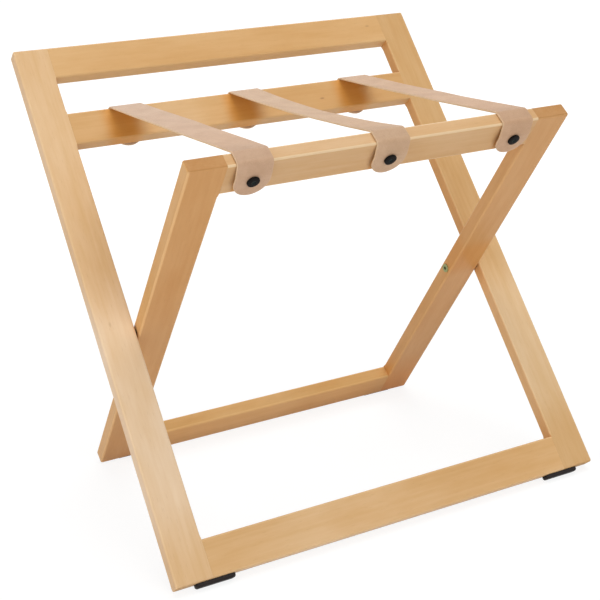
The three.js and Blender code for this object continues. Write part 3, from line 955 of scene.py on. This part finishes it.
class RACK_OT_straps(bpy.types.Operator):
    """Makes the leather straps, which hang slack between the rails when the rack is folded"""

    bl_idname = "rack.straps"
    bl_label = "Leather straps"

    def execute(self, context):
        straps = context.scene.rack_straps
        line = strap_line()
        length = (len(line) - 1) * LINE_STEP
        pitch = strap_pitch()
        end_y, level = span_end()
        start = (0, PIVOT.y - end_y, PIVOT.z + level)
        end = (0, PIVOT.y + end_y, PIVOT.z + level)
        draw = np.random.default_rng(STRAP_SEED)
        for name, place in STRAP_PLACES.items():
            phases = draw.uniform(0, 2 * math.pi, len(RIPPLES))
            rings, uv, rim, flesh, off = strap_rings(line, place * pitch, *STRAP_SAGS[name], phases)
            rings = rings + np.array([0, PIVOT.y, PIVOT.z])
            piece = ring_piece(f"leather_strap_{name}", rings, {"rim": rim, "flesh": flesh})
            mesh = piece.data
            layer = mesh.uv_layers.new(name="strap")
            corners = np.zeros(len(mesh.loops), np.int32)
            mesh.loops.foreach_get("vertex_index", corners)
            layer.data.foreach_set("uv", uv.reshape(-1, 2)[corners].ravel())
            tones = STRAP_TONES[name], STRAP_PAINTED_FRONTS[name]
            mesh.materials.append(leather(f"leather_{name}", straps, length, *tones))
            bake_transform(piece, "inner_frame", "outer_frame", start, end)
            weights = slack_weights(rings.reshape(-1, 3), off.ravel())
            mesh.attributes["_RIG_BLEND"].data.foreach_set("value", weights.astype(np.float32))
            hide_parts(f"strap_{name}")
        return {"FINISHED"}


# Hardware

# Small steps that keep turned edges crisp: beside a crease, round a fillet and round a socket's mouth.
CREASE = 0.0002
FILLET = 0.0003
CHAMFER = 0.00025
SCREW_SEED = 5
BOLT_TURN = 0.3
PAD_STEPS = 7
WASHER_TINT = (0.24, 0.17, 0.11)
INSERT_TINT = (0.71, 0.57, 0.31)
DOWEL_TINT = (0.85, 0.71, 0.53)


def rounds(*points):
    """Points (radius, height) of a round profile, with no share of a hexagon."""
    return [(radius, height, 0) for radius, height in points]


def socket(hole, mouth, depth):
    """Points of a hexagon socket: a small chamfer, straight walls and a coned floor."""
    wall, floor, cone = hole - CHAMFER, mouth - depth, 0.0004
    return [
        (hole, mouth - 0.1 * CHAMFER, 0.35),
        (wall, mouth - CHAMFER, 1),
        (wall, mouth - 1.6 * CHAMFER, 1),
        (wall, floor + CREASE / 2, 1),
        (wall, floor, 1),
        (0.8 * hole, floor, 1),
        (0, floor - cone, 1),
    ]


def strap_screw_profile(head):
    """Shank with its point, flat underside, upright rim, low crown as a part of a quarter ellipse, and
    hexagon socket."""
    shank, length, point, tip = 0.0025, 0.02, 0.003, 0.0004
    rim, height, ease = 0.0022, 0.003, 0.00025
    hole, depth = 0.003, 0.0012
    turn = np.linspace(0, math.acos((hole + CREASE) / head), 9)
    crown = [(head * math.cos(a), rim + (height - rim) * math.sin(a)) for a in turn]
    points = rounds(
        (0, -length),
        (0.3 * shank, tip - length),
        (shank, point - length),
        (shank, -CREASE),
        (shank, 0),
        (shank + FILLET, 0),
        (head - 2 * ease, 0),
        (head - ease, 0),
        (head, ease),
        (head, 0.9 * rim),
        *crown,
    )
    return points + socket(hole, crown[-1][1], depth)


def pivot_bolt_profile(head):
    """Thread end, shoulder, flat underside, head eased by a quarter circle, and hexagon socket."""
    rack, boards = bpy.context.scene.rack_frame, bpy.context.scene.rack_boards
    thread, thread_length, lead, shoulder = 0.003, 0.018, 0.0006, 0.004
    height, ease = 0.0012, 0.0004
    hole, depth = 0.0025, 0.001
    reach = boards.width + rack.side_gap
    end = -reach - thread_length
    turn = np.linspace(0, math.pi / 2, 5)
    lip = [(head - ease + ease * math.cos(a), height - ease + ease * math.sin(a)) for a in turn]
    points = rounds(
        (0, end),
        (0.8 * thread, end),
        (thread, end + lead),
        (thread, -reach),
        (shoulder - FILLET, -reach),
        (shoulder, FILLET - reach),
        (shoulder, -CREASE),
        (shoulder, 0),
        (shoulder + FILLET, 0),
        (head - CREASE, 0),
        (head, CREASE),
        (head, height - ease - CREASE / 2),
        *lip,
        (hole + ease, height),
        (hole + CREASE / 2, height),
    )
    return points + socket(hole, height, depth)


def pivot_washer_profile(half):
    """A flat ring with chamfered edges, from its bore round and back to it."""
    outside, bore = 0.006, 0.0041
    return rounds(
        (bore, FILLET - half),
        (bore + FILLET, -half),
        (outside - FILLET, -half),
        (outside, FILLET - half),
        (outside, half - FILLET),
        (outside - FILLET, half),
        (bore + FILLET, half),
        (bore, half - FILLET),
        (bore, FILLET - half),
    )


class RACK_OT_screws(bpy.types.Operator):
    """Makes the black button-head screws that hold the straps"""

    bl_idname = "rack.screws"
    bl_label = "Strap screws"

    def execute(self, context):
        rack, boards = context.scene.rack_frame, context.scene.rack_boards
        straps, hardware = context.scene.rack_straps, context.scene.rack_hardware
        black = plated(
            "black_oxide",
            hardware.screw_tint,
            worn=1.35,
            # A pale bluish socket: a painted glint in the dark recess.
            socket_shade_and_glint=(2.6, 3.5, 3.8),
            metallic=0.0,
            gloss=0.08,
            roughness=0.45,
        )
        pitch = strap_pitch()
        profile = strap_screw_profile(hardware.screw_head / 2)
        draw = np.random.default_rng(SCREW_SEED)
        under = boards.thick / 2 + straps.stand_off + straps.thick + rack.clear
        for frame, sign in TONGUE_SIDES.items():
            stand = Matrix.Rotation(-sign * math.pi / 2, 4, "X")
            for name, place in STRAP_PLACES.items():
                centre = Vector((place * pitch, sign * under, rack.leg - straps.screw_drop))
                axes = frame_matrix(frame) @ Matrix.Translation(centre) @ stand
                turn = draw.uniform(0, math.pi / 3)
                piece = turned_piece(f"screw_{frame}_{name}", profile, axes, turn)
                piece.data.materials.append(black)
                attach(piece, f"{frame}_frame")
                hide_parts(f"strap_screw_{frame}_{name}")
        return {"FINISHED"}


class RACK_OT_pivots(bpy.types.Operator):
    """Makes the pivot bolts and their spacer washers, and finishes the hidden inserts and dowels"""

    bl_idname = "rack.pivots"
    bl_label = "Pivots and dowels"

    def execute(self, context):
        rack, boards = context.scene.rack_frame, context.scene.rack_boards
        hardware = context.scene.rack_hardware
        zinc = plated(
            "yellow_zinc",
            hardware.bolt_tint,
            worn=(0.9, 0.95, 0.8),
            # A dark olive socket: painted shade in the recess.
            socket_shade_and_glint=(0.3, 0.36, 0.16),
            metallic=0.0,
            gloss=0.4,
            roughness=0.34,
        )
        nylon = moulded("dark_nylon", WASHER_TINT, 0.45)
        inside = half_width("inner") - boards.width
        bolt = pivot_bolt_profile(hardware.bolt_head / 2)
        washer = pivot_washer_profile(rack.side_gap / 2 - rack.clear)
        for side, sign in SIDES.items():
            stand = Matrix.Rotation(-sign * math.pi / 2, 4, "Y")
            for name, profile, x, finish, slot in (
                ("pivot_bolt", bolt, inside - rack.clear, zinc, "yellow_zinc"),
                ("pivot_washer", washer, half_width("inner") + rack.side_gap / 2, nylon, "nylon"),
            ):
                axes = frame_matrix("outer") @ Matrix.Translation((sign * x, 0, 0)) @ stand
                piece = turned_piece(f"turned_{name}_{side}", profile, axes, BOLT_TURN)
                piece.data.materials.append(finish)
                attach(piece, "outer_frame")
                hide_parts(f"{name}_{side}")
        brass = plated(
            "insert_brass",
            INSERT_TINT,
            worn=(0.88, 0.86, 0.84),
            socket_shade_and_glint=1,
            metallic=1.0,
            gloss=0.5,
            roughness=0.34,
        )
        raw = raw_dowel(DOWEL_TINT)
        for name, cad in FRAME["nodes"].items():
            finish = raw if name.startswith("dowel_") else brass if "insert" in name else None
            if finish:
                cad.data.materials.clear()
                cad.data.materials.append(finish)
        return {"FINISHED"}


class RACK_OT_pads(bpy.types.Operator):
    """Makes the dark rubber pads under the feet"""

    bl_idname = "rack.pads"
    bl_label = "Foot pads"

    def execute(self, context):
        rack, boards = context.scene.rack_frame, context.scene.rack_boards
        hardware = context.scene.rack_hardware
        rubber = moulded("pad_rubber", hardware.pad_tint, 0.5)
        depth, thick, corner, edge = 0.015, 0.005, 0.005, 0.003
        past_joint, ease = 0.004, 0.0003
        turn = np.linspace(0, math.pi / 2, 9)
        inset = np.concatenate([edge * (1 - np.sin(turn)), [0, 0, ease, 3 * ease]])
        rise = np.concatenate([edge * (1 - np.cos(turn)), [thick - 2 * ease, thick - ease, thick, thick]])
        high = np.array([hardware.pad_length, depth]) / 2 - inset[:, None]
        radius = np.repeat((corner - inset)[:, None], 4, 1)
        sections = rounded_sections(-high, high, radius, PAD_STEPS)
        rings = stack_sections(sections, rise - thick - rack.leg - rack.clear)
        for frame in LEANS:
            x = half_width(frame) - boards.width - past_joint
            for side, sign in SIDES.items():
                axes = frame_matrix(frame) @ Matrix.Translation((sign * x, 0, 0))
                placed = moved(rings, axes)
                placed[..., 2] = np.maximum(placed[..., 2], 0)
                piece = ring_piece(f"pad_{frame}_{side}", placed, {})
                piece.data.materials.append(rubber)
                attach(piece, f"{frame}_frame")
                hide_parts(f"foot_pad_{frame}_{side}")
        return {"FINISHED"}


# Stage

CAMERA_FROM_PIVOT = (-0.75579, -1.38815, 0.52008)
CAMERA_TURN = (math.radians(27.24), math.radians(-15.66), math.radians(-2.66))
CAMERA_SHIFT = (0.025, -0.1)
# Each softbox's place and size, and the point that all of them face.
SOFTBOXES = {
    "overhead": ((0.9, 0.3, 5.1), 4.5),
    "left": ((-4.6, -0.6, 1.4), 3.4),
    "front": ((0, -4.6, 2.2), 3.4),
}
LIGHT_AIM = Vector((0, 0, 0.3))
FLOOR_REACH = 14.0
WHITE = (1, 1, 1, 1)


def camera_matrix():
    """The camera's axes from its turn to the right, its tilt and its roll."""
    turn, tilt, roll = CAMERA_TURN
    ahead = Vector(
        (math.sin(turn) * math.cos(tilt), math.cos(turn) * math.cos(tilt), math.sin(tilt))
    )
    right = Vector((math.cos(turn), -math.sin(turn), 0))
    up = right.cross(ahead)
    c, s = math.cos(roll), math.sin(roll)
    axes = Matrix((right * c + up * s, up * c - right * s, -ahead)).transposed().to_4x4()
    return Matrix.Translation(PIVOT + Vector(CAMERA_FROM_PIVOT)) @ axes


def softbox(name, place, size, power):
    """A square area light aimed at the rack."""
    light = bpy.data.lights.new(name, "AREA")
    light.shape = "SQUARE"
    light.size = size
    light.energy = power
    lamp = bpy.data.objects.new(name, light)
    aim = LIGHT_AIM - Vector(place)
    lamp.matrix_world = Matrix.Translation(place) @ aim.to_track_quat("-Z", "Y").to_matrix().to_4x4()
    bpy.context.scene.collection.objects.link(lamp)


def seen_directly(tree):
    """1 for camera, mirror and glass rays, which see the white background."""
    path = node(tree, "ShaderNodeLightPath").outputs
    seen = math_node(tree, "MAXIMUM", path["Is Camera Ray"], path["Is Glossy Ray"])
    return math_node(tree, "MAXIMUM", seen, path["Is Transmission Ray"])


def pale_floor():
    """A matt pale floor. Seen directly, it is a dark matt skin, which keeps the shadow, under a glow that
    grows to the white of the background away from the rack."""
    material, tree, shader = new_material("pale_floor")
    fill(tree, shader, {"Base Color": (0.9, 0.9, 0.9, 1), "Roughness": 0.9, "Specular IOR Level": 0.0})
    away = vector_node(tree, "LENGTH", node(tree, "ShaderNodeTexCoord").outputs["Object"])
    strength = ramp(tree, away, 0.5, 2.0, 0.86, 1.0)
    skin = node(tree, "ShaderNodeBsdfDiffuse", {"Color": (0.2, 0.2, 0.2, 1)}).outputs[0]
    glow = node(tree, "ShaderNodeEmission", {"Color": WHITE, "Strength": strength}).outputs[0]
    bright = node(tree, "ShaderNodeAddShader", {0: skin, 1: glow}).outputs[0]
    both = {0: seen_directly(tree), 1: shader.outputs[0], 2: bright}
    surface = node(tree, "ShaderNodeMixShader", both).outputs[0]
    fill(tree, tree.nodes["Material Output"], {"Surface": surface})
    return material


class RACK_OT_stage(bpy.types.Operator):
    """Makes the pale floor, the white room, the softboxes and the camera"""

    bl_idname = "rack.stage"
    bl_label = "Stage"

    def execute(self, context):
        scene, stage = context.scene, context.scene.rack_stage
        scene.view_settings.view_transform = "Standard"

        mesh = bpy.data.meshes.new("floor")
        corners = [(x * FLOOR_REACH, y * FLOOR_REACH, 0) for x, y in ((-1, -1), (1, -1), (1, 1), (-1, 1))]
        mesh.from_pydata(corners, [], [(0, 1, 2, 3)])
        mesh.materials.append(pale_floor())
        floor = bpy.data.objects.new("floor", mesh)
        scene.collection.objects.link(floor)

        world = bpy.data.worlds.new("white_room")
        world.use_nodes = True
        scene.world = world
        tree = world.node_tree
        strength = math_node(tree, "MAXIMUM", seen_directly(tree), stage.room)
        fill(tree, tree.nodes["Background"], {"Color": WHITE, "Strength": strength})

        for name, (place, size) in SOFTBOXES.items():
            softbox(f"{name}_softbox", place, size, getattr(stage, name))

        camera = bpy.data.objects.new("camera", bpy.data.cameras.new("camera"))
        camera.data.lens = stage.lens
        camera.data.shift_x, camera.data.shift_y = CAMERA_SHIFT
        camera.matrix_world = camera_matrix()
        scene.collection.objects.link(camera)
        scene.camera = camera
        return {"FINISHED"}


class RACK_PT_panel(bpy.types.Panel):
    """Lists the rack's pieces in the sidebar"""

    bl_idname = "RACK_PT_panel"
    bl_label = "Folding luggage rack"
    bl_space_type = "VIEW_3D"
    bl_region_type = "UI"
    bl_category = "Rack"

    def draw(self, context):
        for operator in OPERATORS:
            self.layout.operator(operator.bl_idname)


SETTINGS = {
    "rack_frame": FrameSettings,
    "rack_boards": BoardSettings,
    "rack_straps": StrapSettings,
    "rack_hardware": HardwareSettings,
    "rack_stage": StageSettings,
}
OPERATORS = (
    RACK_OT_stage,
    RACK_OT_boards,
    RACK_OT_straps,
    RACK_OT_screws,
    RACK_OT_pivots,
    RACK_OT_pads,
)


def register():
    for name, group in SETTINGS.items():
        bpy.utils.register_class(group)
        setattr(bpy.types.Scene, name, PointerProperty(type=group))
    for made in (*OPERATORS, RACK_PT_panel):
        bpy.utils.register_class(made)


def unregister():
    for made in (RACK_PT_panel, *OPERATORS[::-1]):
        bpy.utils.unregister_class(made)
    for name, group in SETTINGS.items():
        delattr(bpy.types.Scene, name)
        bpy.utils.unregister_class(group)


def main():
    register()
    bpy.ops.rack.stage()
    bpy.ops.rack.boards()
    bpy.ops.rack.straps()
    bpy.ops.rack.screws()
    bpy.ops.rack.pivots()
    bpy.ops.rack.pads()


if __name__ == "__main__":
    main()
